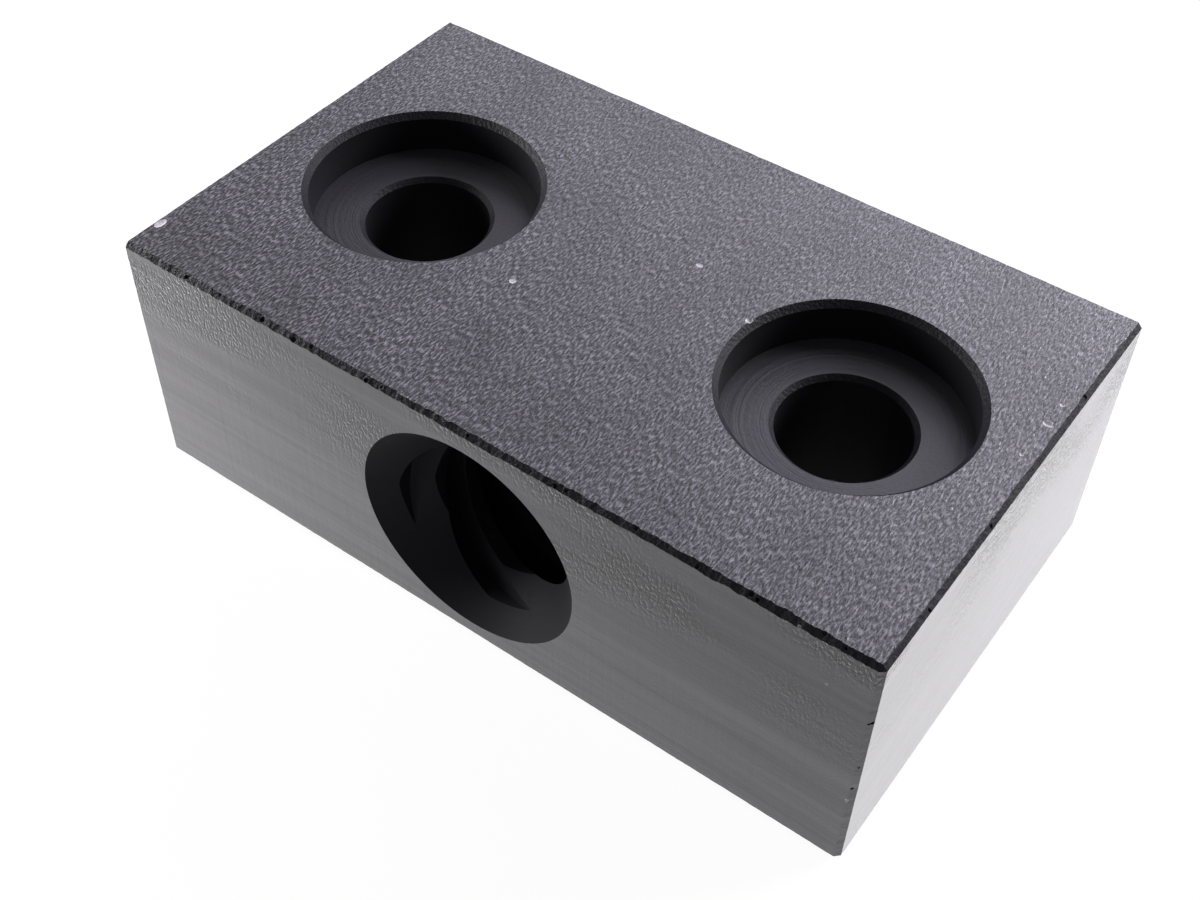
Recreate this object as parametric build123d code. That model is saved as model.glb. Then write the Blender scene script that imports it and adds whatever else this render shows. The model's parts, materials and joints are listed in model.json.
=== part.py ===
"""Machined mounting block that carries the nut thread of a trapezoidal lead screw.

One solid, milled from bar: a rectangular block with two counterbored bolt holes
through its height and one lead-screw bore through its width.

Millimetres, +Z up. The origin is the middle of the bottom face. X runs along the
block's length, Y along the lead screw and Z along the bolts.
"""

import os

from build123d import *

# Bar stock.
BLOCK_LENGTH = 34.0  # along X
BLOCK_WIDTH = 20.0  # along Y
BLOCK_HEIGHT = 12.0  # along Z

# 45 degree legs of the deburred outer edges.
EDGE_BREAK = 0.2  # round the top face and at the four upright corners
BASE_EDGE_BREAK = 0.4  # round the bottom face

# Two clearance holes for M5 bolts, with seats for their heads in the top face.
BOLT_SPACING = 20.0  # between the two hole axes, along X
BOLT_HOLE_DIAMETER = 5.2
SEAT_DIAMETER = 9.5
SEAT_DEPTH = 1.8  # from the top face to the seat's floor
SEAT_RIM_BREAK = 0.25  # 45 degree leg at the seat's rim
BOLT_MOUTH_BREAK = 0.2  # 45 degree leg where a hole meets the seat's floor and the bottom face

# Lead-screw bore. It is open at the crests of a four-start trapezoidal thread.
# The thread's grooves are cut outside this diameter and aren't part of the solid.
SCREW_CREST_DIAMETER = 6.2
SCREW_MOUTH_DIAMETER = 10.0  # of the 45 degree countersink, where it meets the side face
SCREW_AXIS_HEIGHT = BLOCK_HEIGHT / 2

# How far a cutter stands out of the face that it enters.
CUTTER_OVERRUN = 1.0


def deburred_bar():
    """The rectangular bar, resting on the XY plane, with its twelve edges broken."""
    bar = Box(
        BLOCK_LENGTH,
        BLOCK_WIDTH,
        BLOCK_HEIGHT,
        align=(Align.CENTER, Align.CENTER, Align.MIN),
    )
    base_edges = bar.faces().sort_by(Axis.Z).first.edges()
    bar = chamfer(base_edges, BASE_EDGE_BREAK)
    other_edges = bar.edges().filter_by(Axis.Z) + bar.faces().sort_by(Axis.Z).last.edges()
    return chamfer(other_edges, EDGE_BREAK)


def turned_cutter(half_profile):
    """The solid that a drill or countersink with this half profile sweeps about the Z axis."""
    outline = Polyline(*half_profile, close=True)
    return revolve(make_face(Plane.XZ * outline), Axis.Z)


def bolt_hole_cutter():
    """Clearance hole, seat and edge breaks on the Z axis, with the top face at z = BLOCK_HEIGHT."""
    hole = BOLT_HOLE_DIAMETER / 2
    seat = SEAT_DIAMETER / 2
    floor = BLOCK_HEIGHT - SEAT_DEPTH
    over = CUTTER_OVERRUN
    return turned_cutter(
        [
            (0, -over),
            (hole + BOLT_MOUTH_BREAK + over, -over),
            (hole, BOLT_MOUTH_BREAK),
            (hole, floor - BOLT_MOUTH_BREAK),
            (hole + BOLT_MOUTH_BREAK, floor),
            (seat, floor),
            (seat, BLOCK_HEIGHT - SEAT_RIM_BREAK),
            (seat + SEAT_RIM_BREAK + over, BLOCK_HEIGHT + over),
            (0, BLOCK_HEIGHT + over),
        ]
    )


def screw_bore_cutter():
    """Crest-diameter bore with a countersink at each end, about the Z axis and centred on z = 0."""
    crest = SCREW_CREST_DIAMETER / 2
    mouth = SCREW_MOUTH_DIAMETER / 2
    half_width = BLOCK_WIDTH / 2
    countersink = mouth - crest  # a 45 degree cone is as deep as it is wide
    over = CUTTER_OVERRUN
    return turned_cutter(
        [
            (0, -half_width - over),
            (mouth + over, -half_width - over),
            (crest, countersink - half_width),
            (crest, half_width - countersink),
            (mouth + over, half_width + over),
            (0, half_width + over),
        ]
    )


def mounting_block():
    """The finished block: the bar less its two bolt holes and its lead-screw bore."""
    bolt_holes = [
        Pos(X=side * BOLT_SPACING / 2) * bolt_hole_cutter() for side in (-1, 1)
    ]
    screw_bore = Pos(Z=SCREW_AXIS_HEIGHT) * Rot(X=90) * screw_bore_cutter()
    block = deburred_bar()
    for cutter in [*bolt_holes, screw_bore]:
        block -= cutter
    return block


os.makedirs("parts", exist_ok=True)
export_step(mounting_block(), "parts/mounting_block.step")
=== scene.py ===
# %% [markdown]
# # A machined mounting block
# This scene finishes one block that was milled from black acetal bar. It carries a nut
# thread for a lead screw, and two counterbored holes take the bolts that hold it down.
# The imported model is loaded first. It fixes every size and place, and all that follows
# is built around it in metres.

import json
import math

import bmesh
import bpy
from mathutils import Matrix, Vector, noise


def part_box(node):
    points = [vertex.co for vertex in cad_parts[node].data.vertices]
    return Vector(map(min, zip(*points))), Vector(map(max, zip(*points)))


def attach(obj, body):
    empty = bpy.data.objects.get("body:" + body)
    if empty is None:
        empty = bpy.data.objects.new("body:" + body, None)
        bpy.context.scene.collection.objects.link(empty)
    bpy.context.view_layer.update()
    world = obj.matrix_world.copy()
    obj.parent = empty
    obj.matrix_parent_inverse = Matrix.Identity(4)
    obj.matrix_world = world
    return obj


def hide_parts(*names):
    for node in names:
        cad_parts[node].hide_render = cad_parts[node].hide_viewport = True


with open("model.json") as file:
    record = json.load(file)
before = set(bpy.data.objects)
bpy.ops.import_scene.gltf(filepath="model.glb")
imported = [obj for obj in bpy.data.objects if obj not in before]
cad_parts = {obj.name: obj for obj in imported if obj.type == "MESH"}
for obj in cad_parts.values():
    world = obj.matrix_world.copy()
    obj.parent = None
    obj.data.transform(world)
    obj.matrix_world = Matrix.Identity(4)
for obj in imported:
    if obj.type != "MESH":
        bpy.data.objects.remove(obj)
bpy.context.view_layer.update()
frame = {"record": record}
MM = 0.001

# %% [markdown]
# ## Sizes
# The block's width and height come from the frame, and so do the places and
# radii of its holes, because the record's mounts state them. The rest are sizes that a
# machinist would read off the drawing: the seats, the countersinks and the thread form.

# %% Sizes of the block and its holes
BLOCK = "mounting_block"
low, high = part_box(BLOCK)
WIDTH, HEIGHT = (high - low).yz
mounts = {mount["name"]: mount for mount in frame["record"]["mounts"]}

BOLT_AXES = [Vector(mounts[name]["pos_m"]).xy for name in ("bolt_hole_left", "bolt_hole_right")]
BOLT_RADIUS = mounts["bolt_hole_left"]["dims"]["r_mm"] * MM
SEAT_RADIUS = 4.75 * MM
SEAT_DEPTH = 1.8 * MM
SEAT_RIM_BREAK = 0.25 * MM
BOLT_MOUTH_BREAK = 0.2 * MM

SCREW_AXIS = Vector(mounts["screw_thread"]["pos_m"])
CREST_RADIUS = mounts["screw_thread"]["dims"]["r_mm"] * MM
ROOT_RADIUS = 4.1 * MM
MOUTH_RADIUS = 5.0 * MM
THREAD_STARTS = 4
THREAD_PITCH = 2.0 * MM
FLANK_ANGLE = math.radians(15)

EDGE_BREAK = 0.2 * MM
BASE_EDGE_BREAK = 0.4 * MM
OVERRUN = 1.0 * MM
print("bolt axes:", [tuple(round(v / MM, 2) for v in axis) for axis in BOLT_AXES])

# %% [markdown]
# ## Camera
# The block is seen from above its front right corner, close enough for the perspective
# to be strong. The camera is placed by where it stands, the point it looks at and how
# far it is rolled about its line of sight.

# %% Camera
CAMERA_PLACE = Vector((26.3, -38.88, 52.71)) * MM
CAMERA_AIM = Vector((1.27, -3.15, 6.0)) * MM
CAMERA_ROLL = math.radians(1.47)
CAMERA_LENS = 48.33
CAMERA_RANGE = (1 * MM, 10.0)


def make_camera():
    """Makes the scene's camera at its place, looking at its aim, level but for its roll."""
    forward = (CAMERA_AIM - CAMERA_PLACE).normalized()
    level_right = forward.cross(Vector((0, 0, 1))).normalized()
    level_up = level_right.cross(forward)
    right = level_right * math.cos(CAMERA_ROLL) + level_up * math.sin(CAMERA_ROLL)
    up = right.cross(forward)
    data = bpy.data.cameras.new("camera")
    data.lens = CAMERA_LENS
    data.clip_start, data.clip_end = CAMERA_RANGE
    camera = bpy.data.objects.new("camera", data)
    turn = Matrix((right, up, -forward)).transposed().to_4x4()
    camera.matrix_world = Matrix.Translation(CAMERA_PLACE) @ turn
    bpy.context.collection.objects.link(camera)
    bpy.context.scene.camera = camera


make_camera()
print("camera distance in mm:", round((CAMERA_AIM - CAMERA_PLACE).length / MM, 1))

# %% [markdown]
# ## Helpers for shapes
# Every shape below ends as a plain mesh object at the origin, with its place in its
# vertices, so that a pattern in Object coordinates stays where it is put.


# %% Shape helpers
def object_from(name, bm, materials=()):
    """A new linked object that holds this bmesh, with its faces pointing outwards."""
    bmesh.ops.recalc_face_normals(bm, faces=bm.faces)
    mesh = bpy.data.meshes.new(name)
    bm.to_mesh(mesh)
    bm.free()
    for material in materials:
        mesh.materials.append(material)
    thing = bpy.data.objects.new(name, mesh)
    bpy.context.collection.objects.link(thing)
    return thing


def wander(where, fineness, seed):
    """A smooth number from -1 to 1 that changes along a line, the same on every run."""
    return noise.noise(Vector((where * fineness, seed * 7.31, seed * 1.73)))


# %% [markdown]
# ## Helpers for nodes
# Materials and Geometry Nodes are both trees of nodes and links. One small class holds
# the calls that every tree needs, so that each tree below reads as a list of its steps.


# %% Node helpers
class Nodes:
    """A node tree under construction, with short calls for nodes, links and maths."""

    def __init__(self, tree):
        self.tree = tree

    def node(self, kind, **settings):
        made = self.tree.nodes.new(kind)
        for name, value in settings.items():
            setattr(made, name, value)
        return made

    def link(self, source, target):
        self.tree.links.new(source, target)

    def maths(self, operation, *values):
        """The result of one Math node. Each value is a number or another node's output."""
        made = self.node("ShaderNodeMath", operation=operation)
        for socket, value in zip(made.inputs, values):
            if isinstance(value, (int, float)):
                socket.default_value = value
            else:
                self.link(value, socket)
        return made.outputs[0]


# %% [markdown]
# ## Finishes
# Black acetal is one dark plastic, and what changes from face to face is how a tool
# left it. A milled face has a fine grain with streaks along the cut, a side has faint
# bands, a counterbore has rings, and a broken edge is rough and dull. Every finish is
# therefore the same Principled shader with its own tone, bump and roughness. Walls,
# seats and breaks have a darker base than the faces, which is painted shade. That is a
# choice for the look, because they are nearly black on the real block. The patterns read
# Object coordinates, which are metres here, so a Mapping node turns them into marks for
# each millimetre.

# %% A finish under construction
ACETAL = (0.024, 0.023, 0.028)
SHEEN_ROUGHNESS = 0.3


class Finish(Nodes):
    """One black acetal finish: a Principled shader and the patterns that a tool left in it."""

    def __init__(self, name, colour=ACETAL, roughness=0.45, specular=0.5, sheen=0.0):
        self.material = bpy.data.materials.new(name)
        self.material.use_nodes = True
        super().__init__(self.material.node_tree)
        self.shader = self.tree.nodes["Principled BSDF"]
        self.shader.inputs["Base Color"].default_value = (*colour, 1)
        self.shader.inputs["Roughness"].default_value = roughness
        self.shader.inputs["Specular IOR Level"].default_value = specular
        self.shader.inputs["Sheen Weight"].default_value = sheen
        self.shader.inputs["Sheen Roughness"].default_value = SHEEN_ROUGHNESS
        self.colour = colour
        self.place = self.node("ShaderNodeTexCoord").outputs["Object"]
        self.normal = None

    def noise(self, per_mm, detail=2.0, place=None):
        """Noise from 0 to 1 with this many marks in each millimetre along X, Y and Z."""
        mapping = self.node("ShaderNodeMapping")
        mapping.inputs["Scale"].default_value = [count / MM for count in per_mm]
        self.link(place or self.place, mapping.inputs["Vector"])
        made = self.node("ShaderNodeTexNoise")
        made.inputs["Scale"].default_value = 1.0
        made.inputs["Detail"].default_value = detail
        self.link(mapping.outputs[0], made.inputs["Vector"])
        return made.outputs["Fac"]

    def between(self, value, start, stop, low=0.0, high=1.0):
        """Maps a value from start..stop to low..high and holds it there outside."""
        made = self.node("ShaderNodeMapRange")
        for socket, number in zip(list(made.inputs)[1:5], (start, stop, low, high)):
            socket.default_value = number
        self.link(value, made.inputs["Value"])
        return made.outputs["Result"]

    def bump(self, height, depth):
        """Adds relief of this depth in metres to what is there already."""
        made = self.node("ShaderNodeBump")
        made.inputs["Distance"].default_value = depth
        self.link(height, made.inputs["Height"])
        if self.normal:
            self.link(self.normal, made.inputs["Normal"])
        self.normal = made.outputs["Normal"]
        self.link(self.normal, self.shader.inputs["Normal"])

    def roughness_from(self, value):
        self.link(value, self.shader.inputs["Roughness"])

    def shade(self, value):
        """Multiplies the base colour by a value: under 1 is darker, over 1 is paler."""
        mix = self.node("ShaderNodeMix", data_type="RGBA", blend_type="MULTIPLY")
        mix.inputs["Factor"].default_value = 1.0
        mix.inputs["A"].default_value = (*self.colour, 1)
        self.link(value, mix.inputs["B"])
        self.link(mix.outputs["Result"], self.shader.inputs["Base Color"])


# %% [markdown]
# ### Milled top
# The top was cut last, and its grain is short dashes that lie along the block's width.
# Noises make it, because the marks are alike but never repeat. One that is stretched a
# little is the relief of the grain, and one that is stretched far is the faint streaks
# of the cutter. A broad one and a fine one change the tone, and the fine one makes single
# grains pale as painted glints. The last breaks up the gloss, so that some grains glint.


# %% The finish of the top
def milled_top():
    finish = Finish("milled_top_acetal", roughness=0.42, sheen=0.2)
    grain = finish.noise((11.0, 3.2, 8.0), detail=2.0)
    finish.bump(grain, 0.042 * MM)
    finish.bump(finish.noise((7.0, 0.45, 1.0), detail=3.0), 0.012 * MM)
    blotch = finish.noise((0.35, 0.25, 0.3), detail=3.0)
    # the fine noise makes single grains pale: painted glints
    painted_glint_speckle = finish.between(finish.noise((13.0, 4.0, 9.0), detail=1.5), 0.46, 0.74, 0.5, 6.0)
    finish.shade(finish.maths("MULTIPLY", finish.between(blotch, 0.3, 0.7, 0.8, 1.25), painted_glint_speckle))
    gloss = finish.noise((12.0, 7.0, 9.0), detail=1.0)
    finish.roughness_from(finish.between(gloss, 0.35, 0.65, 0.24, 0.55))
    return finish.material


# %% [markdown]
# ### Milled sides
# The sides are smoother than the top. They have level bands that run round the block, a
# fine upright ripple, and open pores towards the top where the tool tore the skin. The
# pores are also darkened in colour, which is painted shade in the pits. The sides show
# pale when they are seen at a low angle. Roughness alone doesn't give that on so dark a
# plastic, so they have a strong sheen.


# %% The finish of the sides
def milled_side():
    finish = Finish("milled_side_acetal", roughness=0.34, sheen=0.9)
    finish.bump(finish.noise((8.0, 8.0, 8.0), detail=2.0), 0.006 * MM)
    # bands that run level round the block, and a fine upright ripple
    finish.bump(finish.noise((0.10, 0.10, 3.2), detail=3.0), 0.007 * MM)
    finish.bump(finish.noise((3.4, 3.4, 0.12), detail=2.0), 0.006 * MM)
    # open pores towards the top
    height = finish.node("ShaderNodeSeparateXYZ")
    finish.link(finish.place, height.inputs[0])
    upper = finish.between(height.outputs["Z"], 0.45 * HEIGHT, 0.95 * HEIGHT)
    patch = finish.between(finish.noise((0.12, 0.12, 0.25), detail=2.0), 0.42, 0.58)
    pores = finish.between(finish.noise((7.5, 7.5, 4.5), detail=1.0), 0.36, 0.52)
    pore_relief_and_shade = finish.maths("MULTIPLY", finish.maths("MULTIPLY", upper, patch), pores)
    finish.bump(pore_relief_and_shade, 0.018 * MM)
    band = finish.noise((0.06, 0.06, 1.1), detail=4.0)
    tone = finish.between(band, 0.3, 0.7, 0.45, 1.9)
    # the bands change the tone, and the pores are darkened: painted shade in the pits
    finish.shade(finish.maths("MULTIPLY", tone, finish.between(pore_relief_and_shade, 0.0, 0.8, 1.0, 0.4)))
    return finish.material


# %% [markdown]
# ### Turned and drilled walls
# A counterbore and a countersink leave rings about their own axis. The rings are a
# noise that reads only the distance from that axis. The two seats lie at equal
# distances to the left and right, so taking the size of X folds them onto each other
# and one pattern serves both.


# %% Turned finishes
def rings(finish, first, second, depth):
    """Rings about an axis, from two coordinates that are square to it and 0 on it."""
    squares = [finish.maths("POWER", part, 2.0) for part in (first, second)]
    radius = finish.maths("SQRT", finish.maths("ADD", *squares))
    only = finish.node("ShaderNodeCombineXYZ")
    finish.link(radius, only.inputs[0])
    finish.bump(finish.noise((4.5, 1.0, 1.0), detail=3.0, place=only.outputs[0]), depth)


def turned_seat_painted_shade():
    # its base is darker than that of the faces: painted shade in the counterbore
    finish = Finish("turned_seat_acetal", colour=(0.018, 0.017, 0.022), roughness=0.45, specular=0.4)
    place = finish.node("ShaderNodeSeparateXYZ")
    finish.link(finish.place, place.inputs[0])
    # the distance from the nearer bolt axis, along X
    folded = finish.maths("SUBTRACT", finish.maths("ABSOLUTE", place.outputs[0]), BOLT_AXES[1].x)
    rings(finish, folded, place.outputs[1], 0.02 * MM)
    finish.bump(finish.noise((7.0, 7.0, 7.0)), 0.008 * MM)
    return finish.material


def bored_wall_painted_shade():
    # its base is nearly black: painted shade in the holes, the seat walls and the thread
    finish = Finish("bored_wall_acetal", colour=(0.005, 0.005, 0.007), roughness=0.6, specular=0.10)
    place = finish.node("ShaderNodeSeparateXYZ")
    finish.link(finish.place, place.inputs[0])
    upright = finish.maths("SUBTRACT", place.outputs[2], SCREW_AXIS.z)
    rings(finish, place.outputs[0], upright, 0.012 * MM)
    return finish.material


# %% [markdown]
# ### Broken edges and scuffs, with painted shade and painted glints
# A hand tool tears an edge more than it cuts it, so a broken edge is rough. It is also
# given a nearly black base, which is painted shade. A ding is pale, partly from dust that
# it caught and partly as a painted glint. Both have one coarse bump that is the same in
# all directions, because neither was cut along a line.


# %% The finishes of breaks and dings
def broken_edge_painted_shade():
    # its base is nearly black: painted shade on the breaks, the nicks and the mouths
    finish = Finish("broken_edge_acetal", colour=(0.007, 0.007, 0.010), roughness=0.55, specular=0.10)
    finish.bump(finish.noise((7.0, 7.0, 7.0), detail=3.0), 0.05 * MM)
    return finish.material


def scuff_and_glint():
    # pale: partly dust in the dings, and partly painted glints
    finish = Finish("scuffed_acetal", colour=(0.30, 0.29, 0.32), roughness=0.6, sheen=0.3)
    finish.bump(finish.noise((8.0, 8.0, 8.0), detail=2.0), 0.03 * MM)
    return finish.material


MILLED_TOP = milled_top()
MILLED_SIDE = milled_side()
TURNED_SEAT_PAINTED_SHADE = turned_seat_painted_shade()
BORED_WALL_PAINTED_SHADE = bored_wall_painted_shade()
BROKEN_EDGE_PAINTED_SHADE = broken_edge_painted_shade()
SCUFF_AND_GLINT = scuff_and_glint()
print("finishes:", [material.name for material in bpy.data.materials])

# %% [markdown]
# ## The bar and its broken edges
# The bar is a box whose edges were broken with a deburring tool by hand, so no edge
# break is even: it wanders, and here and there it has a small nick. A Bevel modifier
# would make every break alike. Instead each face is drawn as one flat outline whose
# border wanders in its own plane, and a strip of small faces joins each two outlines
# along the edge that they share. The faces stay truly flat and the edges are ragged.
# The top edges at the front and right are the roughest, and they alone take the dark
# finish of a broken edge, whose darkness is painted shade. The other breaks are fine and
# keep the finish of the sides.

# %% How ragged each edge is
EDGE_STEP = 0.08 * MM
FADE_STEPS = 6
RAGGED = 0.02 * MM
RAGGED_FRONT_TOP = 0.075 * MM
RAGGED_RIGHT_TOP = 0.045 * MM
# waves in each millimetre of edge, for the broad wander, the two fine ones and the nicks
BROAD, FINE, FINEST, NICKED = 0.45, 3.6, 8.5, 1.3
# a wave above this height is a nick, which is as deep as NICK_DEPTH at 0.3 above it
NICK_START = 0.42
NICK_DEPTH = 0.10 * MM


def raggedness(run, side_first, side_second):
    """The top edges at the front and right were broken last and least evenly."""
    if run == 0 and side_first == 0 and side_second == 1:
        return RAGGED_FRONT_TOP
    if run == 1 and side_first == 1 and side_second == 1:
        return RAGGED_RIGHT_TOP
    return RAGGED


def edge_leg(along, length, base_leg, ragged, seed):
    """How far the border of a face stands back from the sharp edge, at a place along it."""
    fade = min(1.0, min(along, length - along) / (FADE_STEPS * EDGE_STEP))
    broad = wander(along / MM, BROAD, seed)
    fine = wander(along / MM, FINE, seed + 11) * 0.7 + wander(along / MM, FINEST, seed + 23) * 0.5
    nick = max(0.0, wander(along / MM, NICKED, seed + 37) - NICK_START) * NICK_DEPTH / 0.3
    return base_leg + fade * (ragged * (0.6 * broad + fine) + nick * ragged / RAGGED_FRONT_TOP)


# %% [markdown]
# ### A box as corners, edges and faces
# A corner is written as 0 or 1 along X, Y and Z, and an edge as the axis that it runs
# along and its sides on the other two. Short loops over these then build all eight
# corners, twelve edges and six faces in the same way.

# %% Points of the bar
AXES = (0, 1, 2)
SPANS = [(low[axis], high[axis]) for axis in AXES]
CORNERS = [(i, j, k) for i in (0, 1) for j in (0, 1) for k in (0, 1)]
EDGES = [(run, i, j) for run in AXES for i in (0, 1) for j in (0, 1)]


def other_axes(axis):
    """The two axes that this one is square to."""
    return [other for other in AXES if other != axis]


def ends_of(run, side_first, side_second):
    """The two corners that an edge joins."""
    ends = []
    for end in (0, 1):
        corner = [side_first, side_second]
        corner.insert(run, end)
        ends.append(tuple(corner))
    return ends


def inward(side, leg):
    """A step of this leg from a side towards the middle of the bar."""
    return leg if side == 0 else -leg


def nominal_leg(corner, fixed_axes):
    """The leg of an edge that ends in this corner. The edges of the base have a larger one."""
    return BASE_EDGE_BREAK if 2 in fixed_axes and corner[2] == 0 else EDGE_BREAK


def corner_points(bm):
    """Three points for each corner, one on each face. The keys are the corner and the face's axis."""
    points = {}
    for corner in CORNERS:
        for normal in AXES:
            point = Vector([SPANS[axis][corner[axis]] for axis in AXES])
            for other in other_axes(normal):
                point[other] += inward(corner[other], nominal_leg(corner, (normal, other)))
            points[corner, normal] = bm.verts.new(point)
    return points


def border_row(bm, points, edge, normal, seed):
    """The ragged border along an edge, on the face that is square to the normal axis."""
    run = edge[0]
    (other,) = [axis for axis in other_axes(run) if axis != normal]
    ends = ends_of(*edge)
    side = ends[0][other]
    nominal = nominal_leg(ends[0], (normal, other))
    length = SPANS[run][1] - SPANS[run][0]
    steps = int(length / EDGE_STEP)
    start, stop = [points[end, normal] for end in ends]
    row = [start]
    for step in range(1, steps):
        point = start.co.lerp(stop.co, step / steps)
        along = point[run] - SPANS[run][0]
        leg = edge_leg(along, length, nominal, raggedness(*edge), seed)
        point[other] = SPANS[other][side] + inward(side, leg)
        row.append(bm.verts.new(point))
    return row + [stop]


# %% [markdown]
# ### One closed bar
# The borders, the strips and the tips at the corners share their points, so the bar is
# closed without any merging, which the exact solver needs. Each face gets the index of
# its finish here, because the cuts keep the finish of what they leave.

# %% The deburred bar
TOP, SIDE, EDGE = 0, 1, 2
ROUGH_CORNER = (1, 0, 1)
# the two borders of one edge wander apart, so the second takes its own seed
SECOND_BORDER = 50


def edge_strip(bm, row_first, row_second, finish):
    """The small faces that join two borders along the edge that they share."""
    for step in range(len(row_first) - 1):
        there = (row_first[step], row_first[step + 1])
        back = (row_second[step + 1], row_second[step])
        bm.faces.new(there + back).material_index = finish


def face_outline(rows, normal, side):
    """The four borders of one face, joined into one closed loop of points."""
    run_a, run_b = other_axes(normal)

    def border(run, side_other):
        (other,) = [axis for axis in other_axes(run) if axis != normal]
        sides = {normal: side, other: side_other}
        first, second = sorted(sides)
        return rows[(run, sides[first], sides[second]), normal]

    loop = border(run_a, 0)[:-1] + border(run_b, 1)[:-1]
    return loop + border(run_a, 1)[:0:-1] + border(run_b, 0)[:0:-1]


def deburred_bar():
    """The bar with twelve ragged edge breaks, as one closed mesh."""
    bm = bmesh.new()
    points = corner_points(bm)
    rows = {}
    for seed, edge in enumerate(EDGES, start=1):
        first, second = other_axes(edge[0])
        rows[edge, first] = border_row(bm, points, edge, first, seed)
        rows[edge, second] = border_row(bm, points, edge, second, seed + SECOND_BORDER)
        finish = EDGE if raggedness(*edge) > RAGGED else SIDE
        edge_strip(bm, rows[edge, first], rows[edge, second], finish)
    for normal in AXES:
        for side in (0, 1):
            face = bm.faces.new(face_outline(rows, normal, side))
            face.material_index = TOP if normal == 2 and side == 1 else SIDE
    for corner in CORNERS:
        tip = bm.faces.new([points[corner, normal] for normal in AXES])
        tip.material_index = EDGE if corner == ROUGH_CORNER else SIDE
    return object_from("deburred_bar", bm, (MILLED_TOP, MILLED_SIDE, BROKEN_EDGE_PAINTED_SHADE))


bar = deburred_bar()
print("bar:", len(bar.data.polygons), "faces")

# %% [markdown]
# ## Turned cutters
# A drill, a counterbore and a countersink are all round about one axis, so each hole is
# cut by a half profile that is spun about that axis. The radius wobbles very slightly
# where the drilled hole meets its seat, because a perfect circle would show no burr.

# %% Cutters for the bolt holes and the bore
TURN_STEPS = 192
BURR = 0.045 * MM


def turned_cutter(name, half_profile, materials, finishes, burr_rows=(), burr_place=0.0):
    """Spins (radius, height) points about Z. Rows named in burr_rows get a ragged radius.

    finishes has the index of a material for each stretch between two points.
    """
    bm = bmesh.new()
    rings = []
    for index, (radius, height) in enumerate(half_profile):
        if radius == 0:
            rings.append([bm.verts.new((0, 0, height))])
            continue
        ring = []
        for step in range(TURN_STEPS):
            angle = math.tau * step / TURN_STEPS
            cut = radius
            if index in burr_rows:
                near = max(0.0, math.cos(angle - burr_place)) ** 3
                rough = wander(angle, 5.0, 3) + 0.6 * wander(angle, 13.0, 5)
                cut -= BURR * (0.15 + near) * max(0.0, rough)
            ring.append(bm.verts.new((cut * math.cos(angle), cut * math.sin(angle), height)))
        rings.append(ring)
    for below, above, finish in zip(rings, rings[1:], finishes):
        for step in range(TURN_STEPS):
            after = (step + 1) % TURN_STEPS
            if len(below) == 1:
                face = bm.faces.new((below[0], above[step], above[after]))
            elif len(above) == 1:
                face = bm.faces.new((below[step], below[after], above[0]))
            else:
                face = bm.faces.new((below[step], below[after], above[after], above[step]))
            face.material_index = finish
    return object_from(name, bm, materials)


def bolt_hole_cutter(name, axis, burr_place):
    """Clearance hole, seat and edge breaks for one bolt."""
    floor = HEIGHT - SEAT_DEPTH
    profile = [
        (0, -OVERRUN),
        (BOLT_RADIUS + BOLT_MOUTH_BREAK + OVERRUN, -OVERRUN),
        (BOLT_RADIUS, BOLT_MOUTH_BREAK),
        (BOLT_RADIUS, floor - BOLT_MOUTH_BREAK),
        (BOLT_RADIUS + BOLT_MOUTH_BREAK, floor),
        (SEAT_RADIUS, floor),
        (SEAT_RADIUS, HEIGHT - SEAT_RIM_BREAK),
        (SEAT_RADIUS + SEAT_RIM_BREAK + OVERRUN, HEIGHT + OVERRUN),
        (0, HEIGHT + OVERRUN),
    ]
    # the walls are the darkest, the seat's floor is turned, and the mouths and rim are broken; all
    # three have painted shade in their base, the walls the most
    materials = (BORED_WALL_PAINTED_SHADE, TURNED_SEAT_PAINTED_SHADE, BROKEN_EDGE_PAINTED_SHADE)
    finishes = (0, 2, 0, 2, 1, 0, 2, 0)
    cutter = turned_cutter(name, profile, materials, finishes, burr_rows=(3,), burr_place=burr_place)
    cutter.data.transform(Matrix.Translation((axis.x, axis.y, 0)))
    return cutter


def screw_bore_cutter():
    """The bore at the thread's crests, with a 45 degree countersink at each end."""
    half = WIDTH / 2
    sink = MOUTH_RADIUS - CREST_RADIUS
    profile = [
        (0, -half - OVERRUN),
        (MOUTH_RADIUS + OVERRUN, -half - OVERRUN),
        (CREST_RADIUS, sink - half),
        (CREST_RADIUS, half - sink),
        (MOUTH_RADIUS + OVERRUN, half + OVERRUN),
        (0, half + OVERRUN),
    ]
    cutter = turned_cutter("screw_bore_cutter", profile, (BORED_WALL_PAINTED_SHADE,), [0] * len(profile))
    along_y = Matrix.Rotation(-math.pi / 2, 4, "X")
    cutter.data.transform(Matrix.Translation((SCREW_AXIS.x, 0, SCREW_AXIS.z)) @ along_y)
    return cutter


BURR_SIDE = math.radians(-70)
cutters = [
    bolt_hole_cutter(f"bolt_hole_cutter_{side}", axis, BURR_SIDE)
    for side, axis in zip(("left", "right"), BOLT_AXES)
]
cutters.append(screw_bore_cutter())

# %% [markdown]
# ## The thread
# The nut thread is a four-start trapezoidal form: 2 mm from crest to crest, and one
# turn moves the screw 8 mm. Square to the screw that is a round section with four
# lobes, and the section turns once in every lead. Geometry Nodes suit a shape that
# follows a rule like this. A cylinder primitive gives closed, even rows of points, and
# one Set Position node moves each point to the radius that the thread's profile has at
# its angle, then turns it by how far along the screw it lies.

# %% Geometry Nodes: a tap with a multi-start trapezoidal thread
THREAD_COLUMNS = 192
THREAD_ROWS = 176
THREAD_PHASE = math.radians(-15)


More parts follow.
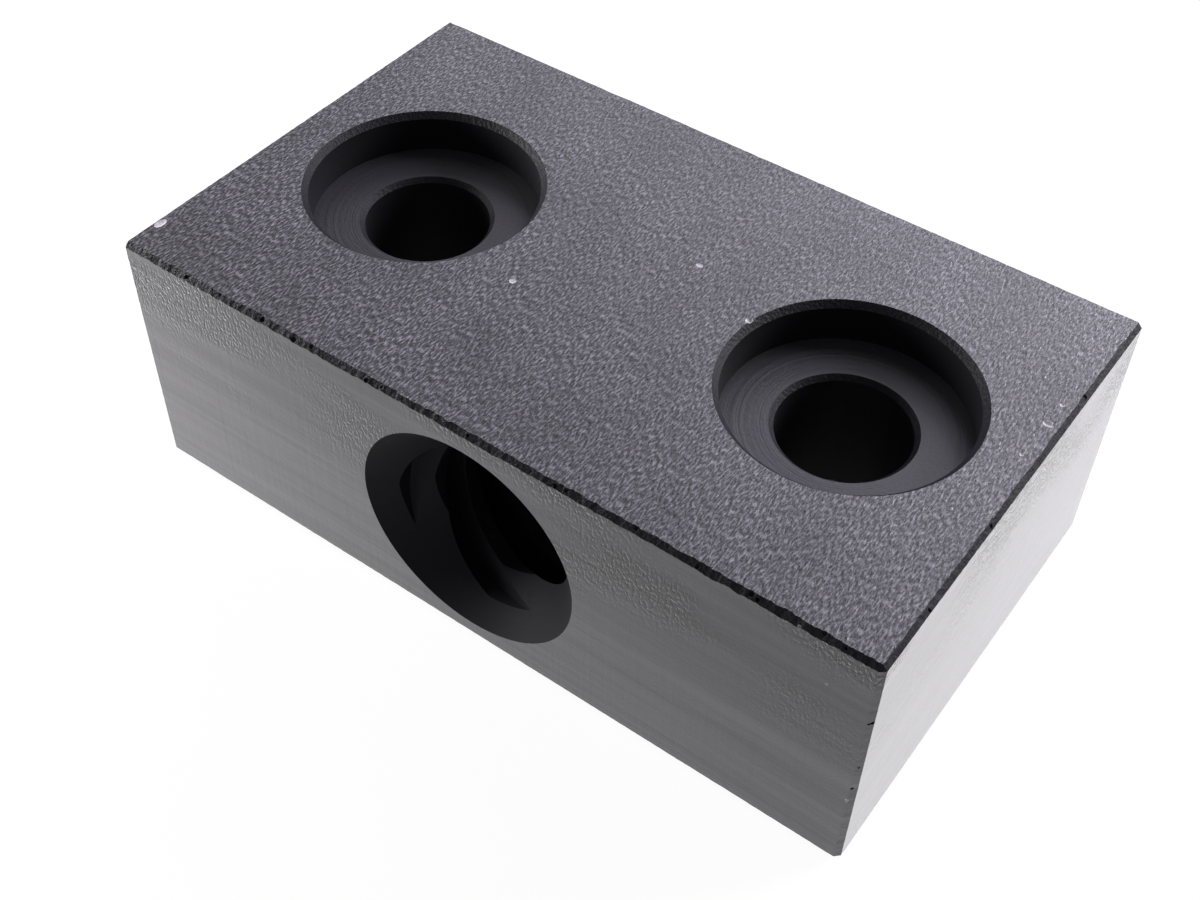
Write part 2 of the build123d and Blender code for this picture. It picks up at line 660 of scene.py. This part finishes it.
class Tree(Nodes):
    """A geometry node tree with named inputs, and the mesh objects that grow from it."""

    def __init__(self, name, inputs):
        super().__init__(bpy.data.node_groups.new(name, "GeometryNodeTree"))
        sockets = self.tree.interface
        self.identifiers = {}
        for label, kind, default in inputs:
            socket = sockets.new_socket(label, in_out="INPUT", socket_type=kind)
            if default is not None:
                socket.default_value = default
            self.identifiers[label] = socket.identifier
        sockets.new_socket("Geometry", in_out="OUTPUT", socket_type="NodeSocketGeometry")
        self.inputs = self.node("NodeGroupInput")
        self.outputs = self.node("NodeGroupOutput")

    def given(self, label):
        """The value of a named input."""
        return self.inputs.outputs[label]

    def finish(self, geometry, material):
        """Realize Instances and Set Material end every tree."""
        realize = self.node("GeometryNodeRealizeInstances")
        dress = self.node("GeometryNodeSetMaterial")
        dress.inputs["Material"].default_value = material
        self.link(geometry, realize.inputs["Geometry"])
        self.link(realize.outputs["Geometry"], dress.inputs["Geometry"])
        self.link(dress.outputs["Geometry"], self.outputs.inputs["Geometry"])

    def grow(self, name, values):
        """Runs the tree on an empty mesh and returns its result as a plain mesh object."""
        holder = bpy.data.objects.new(name + "_holder", bpy.data.meshes.new(name + "_holder"))
        bpy.context.collection.objects.link(holder)
        modifier = holder.modifiers.new("nodes", "NODES")
        modifier.node_group = self.tree
        for label, value in values.items():
            modifier[self.identifiers[label]] = value
        graph = bpy.context.evaluated_depsgraph_get()
        mesh = bpy.data.meshes.new_from_object(holder.evaluated_get(graph), depsgraph=graph)
        mesh.name = name
        bpy.data.objects.remove(holder)
        thing = bpy.data.objects.new(name, mesh)
        bpy.context.collection.objects.link(thing)
        return thing


def tap_tree():
    """The tree of a tap: a closed screw-shaped solid about the Z axis."""
    tree = Tree(
        "multi_start_tap",
        [
            ("Length", "NodeSocketFloat", 0.02),
            ("Crest radius", "NodeSocketFloat", 0.003),
            ("Root radius", "NodeSocketFloat", 0.004),
            ("Pitch", "NodeSocketFloat", 0.002),
            ("Starts", "NodeSocketInt", 4),
            ("Flank slope", "NodeSocketFloat", 0.268),
            ("Phase", "NodeSocketFloat", 0.0),
            ("Columns", "NodeSocketInt", 96),
            ("Rows", "NodeSocketInt", 96),
        ],
    )
    blank = tree.node("GeometryNodeMeshCylinder")
    tree.link(tree.given("Columns"), blank.inputs["Vertices"])
    tree.link(tree.given("Rows"), blank.inputs["Side Segments"])
    tree.link(tree.given("Length"), blank.inputs["Depth"])
    blank.inputs["Radius"].default_value = 1.0

    place = tree.node("ShaderNodeSeparateXYZ")
    tree.link(tree.node("GeometryNodeInputPosition").outputs[0], place.inputs[0])
    x, y, z = place.outputs
    angle = tree.maths("ARCTAN2", y, x)

    # how far along the screw this angle lies from the middle of its groove
    turns = tree.maths("DIVIDE", angle, math.tau)
    share = tree.maths("FRACT", tree.maths("MULTIPLY", turns, tree.given("Starts")))
    from_groove = tree.maths("ABSOLUTE", tree.maths("SUBTRACT", share, 0.5))
    axial = tree.maths("MULTIPLY", from_groove, tree.given("Pitch"))

    # a trapezoid: half the pitch wide at half its depth, with sloping flanks
    depth = tree.maths("SUBTRACT", tree.given("Root radius"), tree.given("Crest radius"))
    half_flank = tree.maths("MULTIPLY", tree.maths("MULTIPLY", depth, 0.5), tree.given("Flank slope"))
    quarter = tree.maths("MULTIPLY", tree.given("Pitch"), 0.25)
    flat = tree.maths("SUBTRACT", quarter, half_flank)
    past_flat = tree.maths("SUBTRACT", axial, flat)
    drop = tree.maths("DIVIDE", past_flat, tree.given("Flank slope"))
    drop = tree.maths("MINIMUM", tree.maths("MAXIMUM", drop, 0.0), depth)
    radius = tree.maths("SUBTRACT", tree.given("Root radius"), drop)

    # a right-hand thread turns anticlockwise as it goes away along +Z
    lead = tree.maths("MULTIPLY", tree.given("Pitch"), tree.given("Starts"))
    twist = tree.maths("MULTIPLY", tree.maths("DIVIDE", z, lead), math.tau)
    turned = tree.maths("ADD", tree.maths("ADD", angle, twist), tree.given("Phase"))
    moved = tree.node("ShaderNodeCombineXYZ")
    tree.link(tree.maths("MULTIPLY", radius, tree.maths("COSINE", turned)), moved.inputs[0])
    tree.link(tree.maths("MULTIPLY", radius, tree.maths("SINE", turned)), moved.inputs[1])
    tree.link(z, moved.inputs[2])
    place_at = tree.node("GeometryNodeSetPosition")
    tree.link(blank.outputs["Mesh"], place_at.inputs["Geometry"])
    tree.link(moved.outputs[0], place_at.inputs["Position"])
    tree.finish(place_at.outputs["Geometry"], BORED_WALL_PAINTED_SHADE)
    return tree


tap = tap_tree().grow(
    "tap",
    {
        "Length": WIDTH + 2 * OVERRUN,
        "Crest radius": CREST_RADIUS - 0.05 * MM,
        "Root radius": ROOT_RADIUS,
        "Pitch": THREAD_PITCH,
        "Starts": THREAD_STARTS,
        "Flank slope": math.tan(FLANK_ANGLE),
        "Phase": THREAD_PHASE,
        "Columns": THREAD_COLUMNS,
        "Rows": THREAD_ROWS,
    },
)
# The tree's +Z becomes +Y. A rotation keeps the thread right-handed, as a mirror would not.
tap.data.transform(
    Matrix.Translation((SCREW_AXIS.x, 0, SCREW_AXIS.z)) @ Matrix.Rotation(-math.pi / 2, 4, "X")
)
cutters.append(tap)
print("tap:", len(tap.data.polygons), "faces")


# %% [markdown]
# ## Nicks and dings
# Tools and swarf leave small nicks along the edges. They are alike but never in step,
# so Geometry Nodes place them: points along an edge, each moved a little by chance, and
# a small ball on each one. The seed is fixed, so every run gives the same nicks. The
# balls are then cut out of the bar like any other tool.


# %% Geometry Nodes: nicks along an edge
def nick_tree():
    """The tree of a row of small balls along a straight edge."""
    tree = Tree(
        "edge_nicks",
        [
            ("Start", "NodeSocketVector", None),
            ("End", "NodeSocketVector", None),
            ("Count", "NodeSocketInt", 12),
            ("Smallest", "NodeSocketFloat", 0.00005),
            ("Largest", "NodeSocketFloat", 0.00015),
            ("Stray", "NodeSocketVector", None),
            ("Seed", "NodeSocketInt", 1),
        ],
    )
    edge = tree.node("GeometryNodeCurvePrimitiveLine")
    tree.link(tree.given("Start"), edge.inputs["Start"])
    tree.link(tree.given("End"), edge.inputs["End"])
    points = tree.node("GeometryNodeCurveToPoints", mode="COUNT")
    tree.link(edge.outputs["Curve"], points.inputs["Curve"])
    tree.link(tree.given("Count"), points.inputs["Count"])

    stray = tree.node("FunctionNodeRandomValue", data_type="FLOAT_VECTOR")
    opposite = tree.node("ShaderNodeVectorMath", operation="SCALE")
    opposite.inputs["Scale"].default_value = -1.0
    tree.link(tree.given("Stray"), opposite.inputs[0])
    tree.link(opposite.outputs["Vector"], stray.inputs["Min"])
    tree.link(tree.given("Stray"), stray.inputs["Max"])
    tree.link(tree.given("Seed"), stray.inputs["Seed"])
    moved = tree.node("GeometryNodeSetPosition")
    tree.link(points.outputs["Points"], moved.inputs["Geometry"])
    tree.link(stray.outputs["Value"], moved.inputs["Offset"])

    ball = tree.node("GeometryNodeMeshIcoSphere")
    ball.inputs["Radius"].default_value = 1.0
    ball.inputs["Subdivisions"].default_value = 2
    size = tree.node("FunctionNodeRandomValue", data_type="FLOAT")
    size_inputs = {socket.identifier: socket for socket in size.inputs}
    tree.link(tree.given("Smallest"), size_inputs["Min_001"])
    tree.link(tree.given("Largest"), size_inputs["Max_001"])
    tree.link(tree.given("Seed"), size.inputs["Seed"])
    balls = tree.node("GeometryNodeInstanceOnPoints")
    tree.link(moved.outputs["Geometry"], balls.inputs["Points"])
    tree.link(ball.outputs["Mesh"], balls.inputs["Instance"])
    size_outputs = {socket.identifier: socket for socket in size.outputs}
    tree.link(size_outputs["Value_001"], balls.inputs["Scale"])
    # the nicks take the dark finish of a broken edge, whose darkness is painted shade
    tree.finish(balls.outputs["Instances"], BROKEN_EDGE_PAINTED_SHADE)
    return tree


# %% [markdown]
# ### Nicks on eight edges
# One tree serves every edge, with other inputs. The balls stray far along their edge
# and very little across it. The edges of the base lie on the ground and have none.

# %% Nicks on eight edges
NICK_INSET = 0.35 * EDGE_BREAK
NICK_STRAY_ALONG = 1.2 * MM
NICK_STRAY_ACROSS = 0.07 * MM
SMALLEST_NICK = 0.05 * MM


def corner_of(right, back, top):
    """A point on the bar's edge, just inside the sharp corner that the break took off."""
    return Vector(
        (
            high.x - NICK_INSET if right else low.x + NICK_INSET,
            high.y - NICK_INSET if back else low.y + NICK_INSET,
            high.z - NICK_INSET if top else low.z + NICK_INSET,
        )
    )


# each edge: where it starts and ends, how many nicks it has, and the largest in mm
NICKED_EDGES = (
    ((0, 0, 1), (1, 0, 1), 24, 0.14),
    ((1, 0, 1), (1, 1, 1), 12, 0.13),
    ((0, 1, 1), (1, 1, 1), 12, 0.12),
    ((0, 0, 1), (0, 1, 1), 8, 0.11),
    ((1, 0, 0), (1, 0, 1), 7, 0.11),
    ((0, 0, 0), (0, 0, 1), 6, 0.10),
    ((1, 1, 0), (1, 1, 1), 6, 0.10),
    ((0, 1, 0), (0, 1, 1), 6, 0.10),
)
edge_nicks = nick_tree()
nicks = []
for seed, (start, end, count, largest) in enumerate(NICKED_EDGES, start=1):
    run = (corner_of(*end) - corner_of(*start)).normalized()
    stray = Vector([NICK_STRAY_ALONG if abs(part) > 0.5 else NICK_STRAY_ACROSS for part in run])
    nicks.append(
        edge_nicks.grow(
            f"nicks_{seed}",
            {
                "Start": corner_of(*start),
                "End": corner_of(*end),
                "Count": count,
                "Smallest": SMALLEST_NICK,
                "Largest": largest * MM,
                "Stray": stray,
                "Seed": seed,
            },
        )
    )
print("nicks:", sum(count for _, _, count, _ in NICKED_EDGES))


# %% [markdown]
# ### Dings
# A few larger dings on the top and front are pale, partly because they caught dust while
# the block was in use and partly as painted glints. Their places follow no rule, so each
# one has its own line in a list. It is cut by a flattened ball, sunk into its face by the
# ding's depth, that leaves the paler, scuffed finish.

# %% Dings with dust and painted glints
# each ding: its place along X and Y, its radii along X, Y and Z, and its depth, all in mm
TOP_DINGS = (
    ((-16.6, -8.3), (0.30, 0.50, 0.20), 0.04),
    ((-3.4, -2.6), (0.24, 0.24, 0.15), 0.03),
    ((1.8, 2.5), (0.30, 0.22, 0.15), 0.02),
    ((5.05, 1.0), (0.20, 0.20, 0.20), 0.08),
    ((16.4, 2.8), (0.28, 0.16, 0.15), 0.05),
    ((16.4, 4.0), (0.14, 0.14, 0.12), 0.04),
    ((16.3, 0.9), (0.12, 0.12, 0.12), 0.03),
)
# the same for the front, with the place along X and Z
FRONT_DINGS = (
    ((16.8, 4.2), (0.12, 0.12, 0.14), 0.05),
    # this one stands for a glint: a painted glint
    ((13.9, 11.8), (0.07, 0.07, 0.07), 0.10),
    ((15.2, 9.8), (0.10, 0.10, 0.06), 0.02),
)


def ding_cutter():
    """One flattened ball for each ding."""
    bm = bmesh.new()
    balls = []
    for (x, y), radii, depth in TOP_DINGS:
        balls.append((Vector((x * MM, y * MM, high.z + (radii[2] - depth) * MM)), radii))
    for (x, z), radii, depth in FRONT_DINGS:
        balls.append((Vector((x * MM, low.y - (radii[1] - depth) * MM, z * MM)), radii))
    for middle, radii in balls:
        size = Matrix.Diagonal((*(radius * MM for radius in radii), 1.0))
        shape = Matrix.Translation(middle) @ size
        bmesh.ops.create_icosphere(bm, subdivisions=3, radius=1.0, matrix=shape)
    return object_from("dings", bm, (SCUFF_AND_GLINT,))


dings = ding_cutter()
print("dings:", len(TOP_DINGS) + len(FRONT_DINGS))


# %% [markdown]
# ## Cutting the bar
# All tools are now taken out of the bar with the exact solver. Each cut face takes the
# finish of its tool, so a hole is dressed by what made it. The nicks and dings go first,
# while the bar has few faces. After the thread is in, the same cuts take far longer.


# %% Cut the bar
def cut(blank, tools, overlapping=()):
    """Takes every tool out of the blank and removes the tools. Overlapping ones cross themselves."""
    for tool in tools:
        modifier = blank.modifiers.new("cut", "BOOLEAN")
        modifier.operation = "DIFFERENCE"
        modifier.solver = "EXACT"
        modifier.material_mode = "TRANSFER"
        modifier.use_self = tool.name in overlapping
        modifier.object = tool
    graph = bpy.context.evaluated_depsgraph_get()
    mesh = bpy.data.meshes.new_from_object(blank.evaluated_get(graph), depsgraph=graph)
    blank.modifiers.clear()
    blank.data = mesh
    for tool in tools:
        bpy.data.objects.remove(tool)


cut(bar, nicks + [dings], overlapping={tool.name for tool in nicks})
cut(bar, cutters)
bar.name = "block"
block = bar
print("block:", len(block.data.polygons), "faces,", len(block.data.vertices), "points")

# %% [markdown]
# ## Shading of the mesh
# A cut leaves many small faces on the round walls. They are shaded smooth, and every
# edge where two walls meet at more than 25 degrees stays sharp. The flat sides are left
# flat, so that no shadow creeps in from their edges.

# %% Smooth walls and sharp edges
SHARP_ANGLE = math.radians(25)
# a face whose normal is this close to an axis belongs to a flat side of the block
SQUARE = 0.99999
block.data.shade_smooth()
block.data.set_sharp_from_angle(angle=SHARP_ANGLE)
for face in block.data.polygons:
    if max(abs(part) for part in face.normal) > SQUARE:
        face.use_smooth = False


def open_edges(mesh):
    """How many edges of the mesh don't have two faces."""
    bm = bmesh.new()
    bm.from_mesh(mesh)
    found = sum(not edge.is_manifold for edge in bm.edges)
    bm.free()
    return found


print("open edges:", open_edges(block.data))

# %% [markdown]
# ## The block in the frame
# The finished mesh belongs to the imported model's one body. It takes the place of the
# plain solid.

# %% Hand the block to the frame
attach(block, "root")
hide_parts(BLOCK)
print("block: in place of", BLOCK)


# %% [markdown]
# ## Floor
# The block stands on a white ground that is nearly burnt out. Lamps strong enough to do
# that would also light the block, so the floor glows by itself. It glows for the camera
# and for reflections, and for all other rays it is plain diffuse white. So its glow
# doesn't light the block from below, and the block's shadow still shows a little.


# %% Floor
# from the middle to each side, in metres
FLOOR_REACH = 3.0
FLOOR_WHITE = 0.9
# how much of what is seen is glow: by the camera, and in reflections
SEEN_GLOW = 0.94
MIRRORED_GLOW = 0.9


def floor_paint():
    """Diffuse white, mixed with glow by the kind of ray that meets it."""
    paint = bpy.data.materials.new("pale_floor")
    paint.use_nodes = True
    paint.node_tree.nodes.clear()
    kit = Nodes(paint.node_tree)
    diffuse = kit.node("ShaderNodeBsdfDiffuse")
    diffuse.inputs["Color"].default_value = (FLOOR_WHITE, FLOOR_WHITE, FLOOR_WHITE, 1)
    glow = kit.node("ShaderNodeEmission")
    glow.inputs["Strength"].default_value = 1.0
    rays = kit.node("ShaderNodeLightPath").outputs
    seen = kit.maths("MULTIPLY", rays["Is Camera Ray"], SEEN_GLOW)
    mirrored = kit.maths("MAXIMUM", rays["Is Glossy Ray"], rays["Is Transmission Ray"])
    mix = kit.node("ShaderNodeMixShader")
    kit.link(kit.maths("MULTIPLY_ADD", mirrored, MIRRORED_GLOW, seen), mix.inputs["Fac"])
    kit.link(diffuse.outputs[0], mix.inputs[1])
    kit.link(glow.outputs[0], mix.inputs[2])
    kit.link(mix.outputs[0], kit.node("ShaderNodeOutputMaterial").inputs["Surface"])
    return paint


def make_floor():
    """A wide flat square under the block."""
    bm = bmesh.new()
    bmesh.ops.create_grid(bm, x_segments=1, y_segments=1, size=FLOOR_REACH)
    floor = object_from("floor", bm, (floor_paint(),))


make_floor()
print("floor:", 2 * FLOOR_REACH, "m wide")

# %% [markdown]
# ## Lights
# The room's light comes over the block from broad windows behind it, and is strongest at
# the right. A small pale panel lights the left end. Round area lamps stand for both,
# because a broad lamp gives soft reflections, and the world adds a little from all round.

# %% Lights
WHITE = (1.0, 0.98, 1.0)
COOL = (0.92, 0.89, 1.05)
WORLD_STRENGTH = 0.3
# each lamp: its side and height in degrees, distance and width in mm, power and colour
LAMPS = (
    ("window_right", 55, 25, 300, 140, 1.6, WHITE),
    ("window_middle", 90, 30, 300, 140, 0.35, COOL),
    ("window_left", 120, 30, 300, 140, 0.15, COOL),
    ("overhead", 90, 55, 300, 140, 0.15, COOL),
    ("left_panel", 196, 14, 80, 30, 0.12, WHITE),
)


def area_light(name, place, aim, width, power, colour):
    """A round lamp at a place, turned towards its aim."""
    data = bpy.data.lights.new(name, "AREA")
    data.shape = "DISK"
    data.size = width
    data.energy = power
    data.color = colour
    lamp = bpy.data.objects.new(name, data)
    lamp.location = place
    lamp.rotation_euler = (aim - place).to_track_quat("-Z", "Y").to_euler()
    bpy.context.collection.objects.link(lamp)


def direction(side, height):
    """A unit vector from its angle round the block, from +X towards +Y, and its angle up."""
    side, height = math.radians(side), math.radians(height)
    level = math.cos(height)
    return Vector((math.cos(side) * level, math.sin(side) * level, math.sin(height)))


block_middle = Vector((0, 0, HEIGHT / 2))
for name, side, height, distance, width, power, colour in LAMPS:
    place = block_middle + direction(side, height) * distance * MM
    area_light(name, place, block_middle, width * MM, power, colour)
world = bpy.data.worlds.new("studio")
bpy.context.scene.world = world
world.use_nodes = True
background = world.node_tree.nodes["Background"]
background.inputs["Color"].default_value = (1, 1, 1, 1)
background.inputs["Strength"].default_value = WORLD_STRENGTH
bpy.context.scene.view_settings.view_transform = "Standard"
print("lamps:", len(LAMPS))
